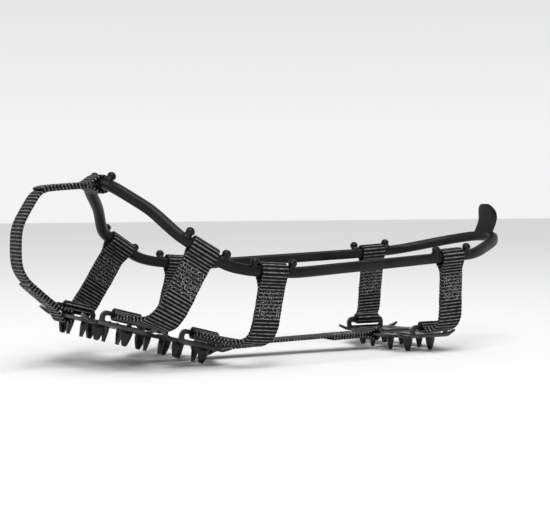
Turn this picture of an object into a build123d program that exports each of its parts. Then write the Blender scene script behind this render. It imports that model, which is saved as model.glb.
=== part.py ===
"""Microspikes for one boot, in the shape they take when worn.

Two toothed steel plates hang on eight webbing straps from one moulded rubber band.
Millimetres. +X points to the toe, +Y to the left, +Z up. The origin is on the ground,
under the middle of the whole object, and the spikes stand on the ground.
"""
import os

from math import cos, radians, sin

from build123d import *

# --- driving dimensions -----------------------------------------------------------------
# Plates
sheet = 1.5                     # steel thickness
lobe_spacing = 45.0             # between the two lobes of the forefoot plate
lobe_half_length = 20.5         # lobe centre to its straight end
lobe_end_half_width = 11.9      # half of the straight end
corner_x = 15.1                 # where the sloped end meets the side strip
corner_y = 26.0
side_half_length = 14.0         # straight side, half
fold_y = 31.2                   # fold line of the side flange
waist_half_width = 11.35        # between the two notches of the forefoot plate
notch_radius = 2.2
pitch = 14.5                    # toe-up tilt of the forefoot plate, degrees
forefoot_x = 84.0               # centre of the forefoot plate
heel_x = -83.0                  # centre of the heel plate

# Teeth, stamped out of the sheet and bent down
tooth_length = 8.0
tooth_width = 6.0
tooth_tip = 1.2
tooth_tip_round = 0.4
inner_tooth_x = 9.7             # sheet middle of the inner teeth, from the lobe centre
inner_tooth_y = 9.0
outer_tooth_x = 7.8
outer_tooth_y = 22.5            # sheet middle of the outer teeth
hole_apex_width = 1.6
fold_radius = 1.95
horn_length = 6.2               # pointed corners of each lobe
horn_width = 4.6
horn_y = 28.5
horn_rise = 24.0                # degrees above the plate
horn_tip = 0.75
horn_shoulder = 3.0             # straight sides before a horn narrows

# Rib, strap slots and side flanges
rib_length = 19.0
rib_width = 3.0
rib_rise = 1.0
rib_taper = 20.0                # degrees
slot_x = 15.1                   # cross slot, from the lobe centre
slot_length = 20.5
slot_width = 4.0
slot_corner = 1.0
flange_length = 25.5
flange_top = 6.8                # above the middle of the sheet
flange_outer_y = 33.4
flange_slot_length = 20.0
flange_slot_low = 1.6
flange_slot_high = 4.4
flange_slot_corner = 0.9
flange_corner = 3.0

# Webbing
web_width = 15.0
web = 1.3                       # one layer; the straps are two layers sewn together
strap_thickness = 2 * web
plate_loop_inner = 2.35         # loop round a cross bar of a plate
flange_loop_inner = 1.9         # loop round the bar of a side flange
band_loop_inner = 3.6           # loop round the band
neck = 9.0                      # loop centre to where its two layers meet
flange_neck = 5.5
neck_overlap = 0.3              # the doubled webbing starts this far inside the neck
strap_back = 1.2                # side straps sit this far behind the middle of their slot
stations = 9                    # sections along each strap
width_turn = 3                  # how early the webbing's width turns to suit the upper loop

# Rubber band
band_radius = 3.0
knob_radius = 2.35
knob_stem_radius = 1.9
knob_height = 5.0               # band centre to ball centre
knob_reach = 11.0               # loop centre to the knob beside it
side_knob_lean = 0.35           # how far the knobs lean outward at the sides
toe_knob_lean = 0.8             # and backward at the toe
tab_width = 17.0
tab_height = 18.0
tab_thickness = 2.6
tab_bow = 3.5                   # how far the tab bows backwards in the middle
tab_lean = 2.0                  # and at its top
tab_gap = 0.8
tab_corner = 6.8

# Stitching
thread = 0.3                    # raised height of the stitches
thread_sunk = 0.15              # and how far they sink into the webbing
stitch_length = 2.2
stitch_width = 0.7
stitch_pitch_across = 3.2
stitch_pitch_along = 3.6
stitch_rows = 4                 # each way
stitch_start = 16.0             # loop centre to the middle of the stitched block

# The route of the band on the left side, from the toe to the back of the heel, as corner
# points with the radius of the bend at each. It runs straight through every strap loop, and
# the pull of the straps bends it just beside the loops.
toe_height = 94.0
toe_x = 104.5
band_route = [
    ((104.5, 14.5, 94.0), 10.0),
    ((90.0, 33.5, 81.0), 24.0),
    ((81.0, 49.5, 67.3), 12.0),
    ((57.5, 53.85, 52.8), 12.0),
    ((45.0, 54.4, 50.2), 20.0),
    ((18.0, 54.3, 48.4), 25.0),
    ((-78.0, 40.2, 53.0), 25.0),
    ((-110.0, 38.5, 55.0), 28.0),
    ((-138.0, 21.0, 61.5), 26.0),
    ((-147.5, 8.5, 64.0), 9.0),
]
heel_back_x = -147.5
heel_back_height = 64.0
front_loop_x = 70.0             # where the strap loops sit on the band
mid_loop_x = 32.0
heel_loop_x = -92.0
front_band_end_x = 14.0         # the front length of the band ends behind the mid strap
heel_band_start_x = -74.0       # and the heel length starts ahead of the heel strap

# Where the side straps turn up round the edge of the sole
front_corner = (93.0, 53.5, 22.5)
mid_corner = (39.0, 56.5, 11.0)
heel_corner = (-91.0, 41.5, 12.5)
side_bend = 7.0
heel_bend = 4.0

# The toe strap rises from the plate and wraps over the toe cap
toe_corners = [(149.5, 0.0, 48.5), (149.5, 0.0, 72.0), (138.0, 0.0, 91.5)]
toe_bends = [16.0, 16.0, 5.0]

# --- worked-out values ------------------------------------------------------------------
tooth_depth = sheet / 2 + tooth_length
lobe_x = lobe_spacing / 2
rear_tooth_x = lobe_x + inner_tooth_x + sheet / 2
forefoot_z = rear_tooth_x * sin(radians(pitch)) + tooth_depth * cos(radians(pitch))
heel_z = tooth_depth
slot_outer_x = slot_x + slot_width / 2
cross_bar_x = (slot_outer_x + lobe_half_length) / 2
flange_y = flange_outer_y - sheet / 2
flange_bar_z = (flange_slot_high + flange_top) / 2
half_web = web_width / 2

forefoot_plane = Plane(
    origin=(forefoot_x, 0, forefoot_z),
    x_dir=(cos(radians(pitch)), 0, sin(radians(pitch))),
    z_dir=(-sin(radians(pitch)), 0, cos(radians(pitch))),
)
heel_plane = Plane(origin=(heel_x, 0, heel_z))


# --- helpers ----------------------------------------------------------------------------
def at(base, x, y, z):
    """A point given in the coordinates of a plane."""
    return base.from_local_coords(Vector(x, y, z))


def along(base, x, y, z):
    """A direction given in the coordinates of a plane."""
    return (at(base, x, y, z) - base.origin).normalized()


def local_plane(base, origin, x_dir, z_dir):
    """A plane given in the coordinates of another one."""
    return Plane(origin=at(base, *origin), x_dir=along(base, *x_dir), z_dir=along(base, *z_dir))


def square_to(direction, axis):
    """The part of a direction that is square to an axis, as a unit vector."""
    axis = axis.normalized()
    return (direction - axis * direction.dot(axis)).normalized()


def on_side(point, side):
    """A point of the left side (side 1), or its mirror image on the right (side -1)."""
    return Vector(point[0], side * point[1], point[2])


# --- steel plates -----------------------------------------------------------------------
def lobe_edge(centre):
    """Left half of a lobe's outline, from its rear end to its front end."""
    corners = [
        (lobe_half_length, lobe_end_half_width),
        (corner_x, corner_y),
        (side_half_length, fold_y),
    ]
    rear = [(centre - x, y) for x, y in corners]
    front = [(centre + x, y) for x, y in reversed(corners)]
    return rear + front


def sheet_outline(lobes):
    """Left half of a plate's outline; two lobes meet in a notch on each side."""
    if len(lobes) == 1:
        return lobe_edge(lobes[0])
    rear_lobe = lobe_edge(lobes[0])[:-1]
    front_lobe = lobe_edge(lobes[1])[1:]
    return rear_lobe + [(0, waist_half_width)] + front_lobe


def add_sheet(base, lobes):
    """The flat sheet, with its notches rounded."""
    left = sheet_outline(lobes)
    right = [(x, -y) for x, y in reversed(left)]
    with BuildSketch(base.offset(-sheet / 2)) as flat:
        with BuildLine():
            Polyline(*left, *right, close=True)
        make_face()
        if len(lobes) == 2:
            waist = sorted(flat.vertices(), key=lambda v: abs(v.X) + abs(v.Y))[:2]
            fillet(waist, notch_radius)
    extrude(flat.sketch, amount=sheet)


def add_rib(base, lobe):
    """The stiffening rib along the middle of a lobe, pressed up out of the sheet."""
    with BuildSketch(base.offset(sheet / 2)) as profile:
        with Locations((lobe, 0)):
            SlotOverall(rib_length, rib_width + rib_rise)
    extrude(profile.sketch, amount=rib_rise, taper=rib_taper)
    with BuildSketch(base.offset(-sheet / 2)) as profile:
        with Locations((lobe, 0)):
            SlotOverall(rib_length - rib_width / 2, rib_width - rib_rise)
    extrude(profile.sketch, amount=rib_rise, mode=Mode.SUBTRACT)


def cut_cross_slot(base, x):
    """A slot across the sheet for a strap that runs fore and aft."""
    with BuildSketch(base.offset(-sheet)) as profile:
        with Locations((x, 0)):
            RectangleRounded(slot_width, slot_length, slot_corner)
    extrude(profile.sketch, amount=2 * sheet, mode=Mode.SUBTRACT)


def add_tooth(base, hinge, inward):
    """One stamped tooth, bent down at its hinge, and the hole that it leaves in the sheet.

    hinge is the middle of the bend, and inward points from it to the apex of the hole.
    """
    across = (-inward[1], inward[0])
    hinge_origin = (hinge[0], hinge[1], 0)
    hole_plane = local_plane(base, hinge_origin, (*inward, 0), (0, 0, 1))
    with BuildSketch(hole_plane.offset(-sheet)) as profile:
        with BuildLine():
            Polyline(
                (sheet / 2, -tooth_width / 2),
                (tooth_length, -hole_apex_width / 2),
                (tooth_length, hole_apex_width / 2),
                (sheet / 2, tooth_width / 2),
                close=True,
            )
        make_face()
    extrude(profile.sketch, amount=2 * sheet, mode=Mode.SUBTRACT)
    tooth_plane = local_plane(base, hinge_origin, (*across, 0), (*inward, 0))
    with BuildSketch(tooth_plane.offset(-sheet / 2)) as profile:
        with BuildLine():
            Polyline(
                (-tooth_width / 2, 0),
                (-tooth_width / 2, -sheet),
                (-tooth_tip / 2, -tooth_depth),
                (tooth_tip / 2, -tooth_depth),
                (tooth_width / 2, -sheet),
                (tooth_width / 2, 0),
                close=True,
            )
        make_face()
        fillet(profile.vertices().sort_by(Axis.Y)[:2], tooth_tip_round)
    extrude(profile.sketch, amount=sheet)


def add_teeth(base, lobe):
    """The eight teeth of a lobe, in two rows of four."""
    for end in (-1, 1):
        for side in (-1, 1):
            add_tooth(base, (lobe + end * inner_tooth_x, side * inner_tooth_y), (-end, 0))
            add_tooth(base, (lobe + end * outer_tooth_x, side * outer_tooth_y), (0, -side))


def add_horns(base, lobe):
    """The four pointed corners of a lobe, which rise a little towards the sole."""
    rise = radians(horn_rise)
    root = side_half_length - sheet
    for end in (-1, 1):
        for side in (-1, 1):
            forward = (end * cos(rise), 0, sin(rise))
            normal = (-end * sin(rise), 0, cos(rise))
            horn_plane = local_plane(base, (lobe + end * root, side * horn_y, 0), forward, normal)
            with BuildSketch(horn_plane.offset(-sheet / 2)) as profile:
                with BuildLine():
                    Polyline(
                        (0, -horn_width / 2),
                        (horn_shoulder, -horn_width / 2),
                        (horn_length + sheet, -horn_tip / 2),
                        (horn_length + sheet, horn_tip / 2),
                        (horn_shoulder, horn_width / 2),
                        (0, horn_width / 2),
                        close=True,
                    )
                make_face()
            extrude(profile.sketch, amount=sheet)


def add_flange(base, lobe, side):
    """A side flange: the sheet's edge folded up, with a slot that leaves a bar for a strap."""
    start = lobe - side * flange_length / 2
    fold_plane = local_plane(base, (start, 0, 0), (0, side, 0), (side, 0, 0))
    inner_y = flange_outer_y - sheet
    with BuildSketch(fold_plane) as fold:
        with BuildLine():
            Polyline(
                (fold_y - sheet, -sheet / 2),
                (flange_outer_y, -sheet / 2),
                (flange_outer_y, flange_slot_low),
                (inner_y, flange_slot_low),
                (inner_y, sheet / 2),
                (fold_y - sheet, sheet / 2),
                close=True,
            )
        make_face()
        outer_corner = fold.vertices().group_by(Axis.Y)[0].sort_by(Axis.X)[-1]
        fillet(outer_corner, fold_radius)
    extrude(fold.sketch, amount=flange_length)
    wall_foot = fold_radius - sheet / 2
    wall_plane = local_plane(base, (lobe, side * flange_y, 0), (1, 0, 0), (0, -1, 0))
    with BuildSketch(wall_plane.offset(-sheet / 2)) as wall:
        with Locations((0, wall_foot)):
            Rectangle(flange_length, flange_top - wall_foot, align=(Align.CENTER, Align.MIN))
        fillet(wall.vertices().group_by(Axis.Y)[-1], flange_corner)
        with Locations((0, (flange_slot_low + flange_slot_high) / 2)):
            slot_height = flange_slot_high - flange_slot_low
            RectangleRounded(
                flange_slot_length, slot_height, flange_slot_corner, mode=Mode.SUBTRACT
            )
    extrude(wall.sketch, amount=sheet)


def build_plate(base, lobes, cross_slots):
    """A whole plate: sheet, ribs, slots, teeth, pointed corners and side flanges."""
    add_sheet(base, lobes)
    for x in cross_slots:
        cut_cross_slot(base, x)
    for lobe in lobes:
        add_rib(base, lobe)
        add_teeth(base, lobe)
        add_horns(base, lobe)
        for side in (-1, 1):
            add_flange(base, lobe, side)


# --- webbing straps ---------------------------------------------------------------------
def add_loop(loop_plane, inner, reach):
    """The loop at the end of a strap, round a bar or the band, and its closing neck.

    The plane looks along the bar, and its x direction points into the strap.
    """
    outer = inner + web
    with BuildSketch(loop_plane) as profile:
        Circle(outer)
        with BuildLine():
            Polyline(
                (0, outer),
                (reach, web),
                (reach, -web),
                (0, -outer),
                close=True,
            )
        make_face()
        Circle(inner, mode=Mode.SUBTRACT)
        with BuildLine():
            Polyline((0, inner), (reach - web, 0), (0, -inner), close=True)
        make_face(mode=Mode.SUBTRACT)
    extrude(profile.sketch, amount=half_web, both=True)


def add_ribbon(start, corners, bends, finish, start_width, finish_width):
    """The doubled webbing between two loops; its width turns from one loop to the other."""
    with BuildLine(mode=Mode.PRIVATE) as route:
        if corners:
            FilletPolyline(start, *corners, finish, radius=bends)
        else:
            Line(start, finish)
    sections = []
    for step in range(stations + 1):
        share = step / stations
        point = route.line @ share
        start_share = (1 - share) ** width_turn
        width = (start_width * start_share + finish_width * (1 - start_share)).normalized()
        thickness = (route.line % share).cross(width)
        with BuildSketch(Plane(origin=point, x_dir=width, z_dir=width.cross(thickness))) as section:
            Rectangle(web_width, strap_thickness)
        sections.append(section.sketch)
    loft(sections, ruled=True)


def add_strap(low, low_inner, low_neck, corners, bends, high, high_inner):
    """A strap between two bars, each given as a point and the direction of the bar."""
    low_point, low_bar = low
    high_point, high_bar = high
    low_target = corners[0] if corners else high_point
    high_target = corners[-1] if corners else low_point
    low_x = square_to(low_target - low_point, low_bar)
    high_x = square_to(high_target - high_point, high_bar)
    add_loop(Plane(origin=low_point, x_dir=low_x, z_dir=low_bar), low_inner, low_neck)
    add_loop(Plane(origin=high_point, x_dir=high_x, z_dir=high_bar), high_inner, neck)
    start = low_point + low_x * (low_neck - neck_overlap)
    finish = high_point + high_x * (neck - neck_overlap)
    add_ribbon(start, corners, bends, finish, low_bar, high_bar)


def add_stitches(loop_point, bar, target, near, outward):
    """A block of box stitching on the outer face of a strap, below its loop."""
    down = square_to(target - loop_point, bar)
    normal = bar.cross(down)
    if normal.dot(outward) < 0:
        normal = -normal
    face = loop_point + down * near + normal * (web - thread_sunk)
    with BuildSketch(Plane(origin=face, x_dir=bar, z_dir=normal)) as profile:
        with GridLocations(stitch_pitch_across, stitch_pitch_along, stitch_rows, stitch_rows):
            Rectangle(stitch_width, stitch_length)
    extrude(profile.sketch, amount=thread + thread_sunk)


# --- rubber band ------------------------------------------------------------------------
def route_point(index, side):
    """A corner of the band's route; 0 is the middle of the toe, the last is the heel back."""
    if index == 0:
        return Vector(toe_x, 0, toe_height)
    if index > len(band_route):
        return Vector(heel_back_x, 0, heel_back_height)
    return on_side(band_route[index - 1][0], side)


def on_run(index, x, side):
    """The point of the route at x, between corner index and the next, and its direction."""
    first = route_point(index, side)
    second = route_point(index + 1, side)
    share = (x - first.X) / (second.X - first.X)
    return first + (second - first) * share, (first - second).normalized()


def band_bar(place, side):
    """Where a strap loop sits on the band: its middle and the direction of the band there."""
    index, x = place
    return on_run(index, x, side)


def add_band(points, radii):
    """A length of the band along the given route, or a straight one without radii."""
    with BuildLine() as route:
        if radii:
            FilletPolyline(*points, radius=radii)
        else:
            Line(*points)
    with BuildSketch(Plane(origin=route.line @ 0, z_dir=route.line % 0)) as profile:
        Circle(band_radius)
    sweep(profile.sketch, path=route.line)


def add_knobs(bar, leaning):
    """The two ball-headed knobs that keep a strap loop in its place on the band."""
    centre, direction = bar
    lean = square_to(Vector(0, 0, 1) + leaning, direction)
    for end in (-1, 1):
        foot = centre + direction * (end * knob_reach)
        with Locations(Plane(origin=foot, z_dir=lean).location):
            Cylinder(
                knob_stem_radius, knob_height, align=(Align.CENTER, Align.CENTER, Align.MIN)
            )
        with Locations(Plane(origin=foot + lean * knob_height, z_dir=lean).location):
            Sphere(knob_radius)


def route_corners(indices, side):
    return [route_point(i, side) for i in indices]


def route_radii(indices):
    return [band_route[i - 1][1] for i in indices]


front_place = (3, front_loop_x)
mid_place = (5, mid_loop_x)
heel_place = (7, heel_loop_x)
side_run = 6
toe_bar = (route_point(0, 1), Vector(0, 1, 0))

with BuildPart() as band_front:
    bends = [6, 5, 4, 3, 2, 1]
    left_end = on_run(side_run, front_band_end_x, 1)[0]
    right_end = on_run(side_run, front_band_end_x, -1)[0]
    left_corners = route_corners(bends, 1)
    right_corners = route_corners(reversed(bends), -1)
    radii = route_radii(bends)
    add_band([left_end, *left_corners, *right_corners, right_end], radii + radii[::-1])
    add_knobs(toe_bar, Vector(-toe_knob_lean, 0, 0))
    for side in (-1, 1):
        add_knobs(band_bar(front_place, side), Vector(0, side * side_knob_lean, 0))
        add_knobs(band_bar(mid_place, side), Vector(0, side * side_knob_lean, 0))

band_sides = {}
for name, side in (("left", 1), ("right", -1)):
    with BuildPart() as band_side:
        front_end = on_run(side_run, front_band_end_x, side)[0]
        rear_end = on_run(side_run, heel_band_start_x, side)[0]
        add_band([front_end, rear_end], [])
    band_sides[f"band_side_{name}"] = band_side

with BuildPart() as band_heel:
    bends = [7, 8, 9, 10]
    left_end = on_run(side_run, heel_band_start_x, 1)[0]
    right_end = on_run(side_run, heel_band_start_x, -1)[0]
    left_corners = route_corners(bends, 1)
    right_corners = route_corners(reversed(bends), -1)
    radii = route_radii(bends)
    add_band([left_end, *left_corners, *right_corners, right_end], radii + radii[::-1])
    for side in (-1, 1):
        add_knobs(band_bar(heel_place, side), Vector(0, side * side_knob_lean, 0))

# The pull tab stands on the band at the back of the heel and bows backwards.
with BuildPart() as heel_pull_tab:
    tab_foot = heel_back_height + band_radius + tab_gap
    with BuildSketch(Plane.XZ.offset(-tab_width / 2)):
        with BuildLine() as bow:
            inner_face = ThreePointArc(
                (heel_back_x + tab_thickness / 2, tab_foot),
                (heel_back_x + tab_thickness / 2 - tab_bow, tab_foot + tab_height / 2),
                (heel_back_x + tab_thickness / 2 - tab_lean, tab_foot + tab_height),
            )
            Line(inner_face @ 1, (heel_back_x - tab_thickness / 2 - tab_lean, tab_foot + tab_height))
            outer_face = ThreePointArc(
                (heel_back_x - tab_thickness / 2 - tab_lean, tab_foot + tab_height),
                (heel_back_x - tab_thickness / 2 - tab_bow, tab_foot + tab_height / 2),
                (heel_back_x - tab_thickness / 2, tab_foot),
            )
            Line(outer_face @ 1, inner_face @ 0)
        make_face()
    extrude(amount=tab_width)
    upright = heel_pull_tab.edges().filter_by(Axis.X)
    fillet(upright.group_by(Axis.Z)[-1], tab_corner)

# --- plates -----------------------------------------------------------------------------
with BuildPart() as forefoot_plate:
    build_plate(forefoot_plane, (-lobe_x, lobe_x), (-lobe_x - slot_x, lobe_x + slot_x))

with BuildPart() as heel_plate:
    build_plate(heel_plane, (0,), (slot_x,))

# --- straps -----------------------------------------------------------------------------
straps = {}
stitching = {}

forefoot_bar = along(forefoot_plane, 1, 0, 0)
heel_bar = along(heel_plane, 1, 0, 0)
side_straps = {
    "front": (forefoot_plane, lobe_x, forefoot_bar, front_corner, side_bend, front_place),
    "mid": (forefoot_plane, -lobe_x, forefoot_bar, mid_corner, side_bend, mid_place),
    "heel": (heel_plane, 0, heel_bar, heel_corner, heel_bend, heel_place),
}
for place, (base, lobe, bar, corner, bend, loop_place) in side_straps.items():
    for name, side in (("left", 1), ("right", -1)):
        low = at(base, lobe - strap_back, side * flange_y, flange_bar_z)
        high, high_bar = band_bar(loop_place, side)
        edge = on_side(corner, side)
        with BuildPart() as strap:
            add_strap(
                (low, bar), flange_loop_inner, flange_neck, [edge], [bend],
                (high, high_bar), band_loop_inner,
            )
        straps[f"{place}_strap_{name}"] = strap
        with BuildPart() as stitches:
            add_stitches(high, high_bar, edge, stitch_start, Vector(0, side, 0))
        stitching[f"{place}_strap_{name}_stitching"] = stitches

toe_low = at(forefoot_plane, lobe_x + cross_bar_x, 0, 0)
with BuildPart() as strap:
    add_strap(
        (toe_low, Vector(0, 1, 0)), plate_loop_inner, neck, [Vector(*p) for p in toe_corners],
        toe_bends, toe_bar, band_loop_inner,
    )
straps["toe_strap"] = strap
with BuildPart() as stitches:
    add_stitches(*toe_bar, Vector(*toe_corners[-1]), stitch_start, Vector(1, 0, 1))
stitching["toe_strap_stitching"] = stitches

centre_front = at(forefoot_plane, -lobe_x - cross_bar_x, 0, 0)
centre_rear = at(heel_plane, cross_bar_x, 0, 0)
with BuildPart() as strap:
    add_strap(
        (centre_front, Vector(0, 1, 0)), plate_loop_inner, neck, [], [],
        (centre_rear, Vector(0, 1, 0)), plate_loop_inner,
    )
straps["centre_strap"] = strap
with BuildPart() as stitches:
    for end, other in ((centre_front, centre_rear), (centre_rear, centre_front)):
        add_stitches(end, Vector(0, 1, 0), other, stitch_start, Vector(0, 0, -1))
stitching["centre_strap_stitching"] = stitches

# --- one file for each piece, with the middle of the object over the origin -------------
pieces = {
    "forefoot_plate": forefoot_plate,
    "heel_plate": heel_plate,
    "band_front": band_front,
    **band_sides,
    "band_heel": band_heel,
    "heel_pull_tab": heel_pull_tab,
    **straps,
    **stitching,
}
extent = Compound([piece.part for piece in pieces.values()]).bounding_box()
to_middle = Pos(-(extent.min.X + extent.max.X) / 2, 0, -extent.min.Z)
os.makedirs("parts", exist_ok=True)
for name, piece in pieces.items():
    placed = to_middle * piece.part
    placed.label = name
    export_step(placed, f"parts/{name}.step")
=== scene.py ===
"""Microspikes for one boot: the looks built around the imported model.

Lengths are in millimetres until a mesh is made, which turns them into metres.
+X points to the toe, +Y to the left and +Z up, as in the frame.
"""
import random

from itertools import product
from math import acos, atan, ceil, cos, degrees, pi, radians, sin, sqrt, tan

import bpy
import numpy as np

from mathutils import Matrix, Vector, geometry


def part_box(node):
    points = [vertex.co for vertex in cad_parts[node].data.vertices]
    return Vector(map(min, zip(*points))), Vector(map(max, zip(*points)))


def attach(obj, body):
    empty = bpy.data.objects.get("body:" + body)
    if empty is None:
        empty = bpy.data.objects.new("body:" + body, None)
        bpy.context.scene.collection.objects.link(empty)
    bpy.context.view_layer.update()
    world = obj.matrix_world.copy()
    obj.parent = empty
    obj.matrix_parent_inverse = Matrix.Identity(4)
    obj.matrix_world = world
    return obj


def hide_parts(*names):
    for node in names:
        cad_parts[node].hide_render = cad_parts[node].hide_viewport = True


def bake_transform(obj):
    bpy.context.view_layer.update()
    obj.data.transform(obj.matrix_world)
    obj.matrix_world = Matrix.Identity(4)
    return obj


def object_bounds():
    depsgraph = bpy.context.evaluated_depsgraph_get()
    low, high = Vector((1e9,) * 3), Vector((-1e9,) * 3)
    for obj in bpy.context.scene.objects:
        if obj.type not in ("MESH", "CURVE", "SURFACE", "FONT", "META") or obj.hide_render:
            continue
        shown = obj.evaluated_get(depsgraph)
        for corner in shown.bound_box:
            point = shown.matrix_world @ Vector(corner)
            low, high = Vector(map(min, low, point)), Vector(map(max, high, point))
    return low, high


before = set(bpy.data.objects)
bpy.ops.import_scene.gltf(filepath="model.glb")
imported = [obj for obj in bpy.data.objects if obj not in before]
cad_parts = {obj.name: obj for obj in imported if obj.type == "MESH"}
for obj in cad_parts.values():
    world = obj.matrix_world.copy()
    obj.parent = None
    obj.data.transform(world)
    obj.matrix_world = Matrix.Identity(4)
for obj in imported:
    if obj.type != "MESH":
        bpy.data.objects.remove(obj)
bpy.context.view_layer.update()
random.seed(7)

MM = 0.001

# --- sizes that the frame shares ---
heel_x = -83.0  # middle of the heel plate
heel_low, heel_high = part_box("heel_plate")
shift = (heel_low.x + heel_high.x) / 2 / MM - heel_x  # from the drawing to the frame

sheet = 1.5  # thickness of the plates
lobe_x = 22.5  # the forefoot plate's lobes lie this far off its middle
lobe_half_length = 20.5
lobe_end_half_width = 11.9
corner_x = 15.1
corner_y = 26.0
side_half_length = 14.0
side_y = 31.2
waist_half_width = 11.35
notch_radius = 2.6
pitch = radians(14.5)  # the forefoot plate rises towards the toe
forefoot_x = 84.0
tooth_length = 8.0
tooth_depth = sheet / 2 + tooth_length
inner_tooth = (9.7, 9.0)  # hinge of a tooth, from the middle of its lobe
outer_tooth = (7.8, 22.5)
forefoot_z = (lobe_x + inner_tooth[0] + sheet / 2) * sin(pitch) + tooth_depth * cos(pitch)
heel_z = tooth_depth
slot_x = 15.1
slot_width = 4.0
slot_length = 20.5
cross_bar_x = (slot_x + slot_width / 2 + lobe_half_length) / 2
flange_length = 25.5
flange_top = 6.8
flange_y = 32.65
flange_slot = (1.6, 4.4)  # its lower and upper edge
flange_slot_length = 20.0
flange_bar_z = (flange_slot[1] + flange_top) / 2

web_width = 15.0
web = 1.3  # thickness of the webbing
plate_loop_inner = 2.35  # radius inside a loop
flange_loop_inner = 1.9
band_loop_inner = 3.6
neck = 9.0  # from a bar to where its loop closes
flange_neck = 5.5
strap_back = 1.2  # the side straps hang behind the middle of their slots
band_radius = 3.0
knob_reach = 11.0  # from the middle of a strap
side_knob_lean = 0.35  # outwards
toe_knob_lean = 0.8  # backwards

# corners of the band's left side, from toe to heel, each with the radius of its bend
band_route = [
    ((104.5, 14.5, 94.0), 10.0),
    ((90.0, 33.5, 81.0), 24.0),
    ((81.0, 49.5, 67.3), 12.0),
    ((57.5, 53.85, 52.8), 12.0),
    ((45.0, 54.4, 50.2), 20.0),
    ((18.0, 54.3, 48.4), 25.0),
    ((-78.0, 40.2, 53.0), 25.0),
    ((-110.0, 38.5, 55.0), 28.0),
    ((-138.0, 21.0, 61.5), 26.0),
    ((-147.5, 8.5, 64.0), 9.0),
]
toe_middle = (104.5, 0.0, 94.0)
heel_middle = (-147.5, 0.0, 64.0)
toe_corners = [(149.5, 0.0, 48.5), (149.5, 0.0, 72.0), (138.0, 0.0, 91.5)]
toe_bends = [16.0, 16.0, 5.0]

# --- sizes of the plates' details ---
edge = 0.28  # rounding of the steel's edges
fold_radius = 1.2  # of the flanges, at the middle of the sheet
fold_lines = 4  # strips that make up a fold
flange_corner = 3.4
flange_slot_corner = 0.9
slot_corner = 1.0
sharpest_miter = 0.6  # keeps the inset of a sharp corner short
tooth_bend = 1.5
tooth_half_width = 3.0
tooth_tip_half = 0.7
tooth_tip_round = 0.8
tooth_taper = 1.6  # above 1 the sides of a tooth bow outwards
tooth_groove = 1.25  # depth of the groove pressed down each tooth
tooth_columns = (-1, -0.8, -0.55, -0.28, 0, 0.28, 0.55, 0.8, 1)
tooth_bend_rows = 5
tooth_rows = 9
hole_relief = ((-tooth_bend, 0.35), (0.4, 0.25))  # a tooth's hole is wider at its bend
hole_tip = ((tooth_length - 0.5, 1.25), (tooth_length, 0.8))
rib_half_length = 8.6
rib_rise = 1.0
rib_profile = ((2.1, 0.0), (1.75, 0.12), (1.3, 0.5), (0.85, 0.88), (0.45, 1.0))  # half width, share of rise
rib_end = 1.5
rib_end_slope = 0.8
horn_rise = radians(24)  # the pointed corners are bent up
horn_start = 0.4  # of the bend, past the straight part of the side
horn_bend = 1.6  # its length
horn_lines = (0.4, 1.2, 2.0)  # edges that let the sheet bend there
horn_line_ends = (26.9, 29.9)

# --- sizes of the webbing's details ---
weave_pitch = 1.9  # of the ribs across the webbing
weave_rise = 0.17
weave_step = weave_pitch / 5
yarn_pitch = 0.95  # of the threads along a rib
web_middle_columns = (-4.6, -2.2, 0.0, 2.2, 4.6)
web_edge_columns = (0.42, 1.05)  # in from the edge
web_edge_turn = (0.08, 0.62)  # where the edge turns over: in from it, share of the height
selvedge = 0.8  # the woven edge, where the ribs fade
selvedge_ribs = 0.25
edge_crimp = 0.10  # each rib pulls the edge in by this much
web_drift = ((0.09, 0.31, 0.0), (0.06, 0.83, 1.0))  # size, pace and start of its sideways waves
layer_gap = 0.12  # between the two layers of a sewn strap
loop_opening = 62  # degrees from the run to where the round of a loop begins
flange_loop_opening = 52
side_ease = 5.0  # how far the bends of a strap are spread
toe_ease = 3.5
short_tail = 3.0  # the tails are measured from the neck of their loop
whole_tail = 400.0  # longer than any run, so the second layer goes all the way
toe_tails = (18.0, 24.0)
centre_tail = 21.0

# --- sizes of the stitching ---
stitch_rows = 9  # across the webbing
stitched_width = 13.2
stitch_step = 3  # stations of the webbing from one stitch to the next
stitch_length = 1.7
stitch_lengths = (0.7, 1.15)  # shortest and longest, as shares of it
stitch_lean = 45
stitch_sway = 30  # degrees that a stitch turns off its lean
stitch_shake = 0.32  # how far a stitch strays
stitch_lift = web + layer_gap  # from the middle of a doubled strap to its stitches
stitch_profile = (  # share of the length, height, and share of the radius
    (-0.5, -0.25, 0.75), (-0.3, 0.06, 1.0), (0.0, 0.16, 1.0), (0.3, 0.06, 1.0), (0.5, -0.25, 0.75),
)
thread_radius = 0.19
side_seam = 14.5  # length of the sewn part of a side strap
seam_end = 0.4  # from the seam to the neck of the band's loop
toe_seam_start = 1.0
toe_seams = (17.0, 22.5)  # how far the seams reach from each neck
centre_seam = (1.5, 18.5)

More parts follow.
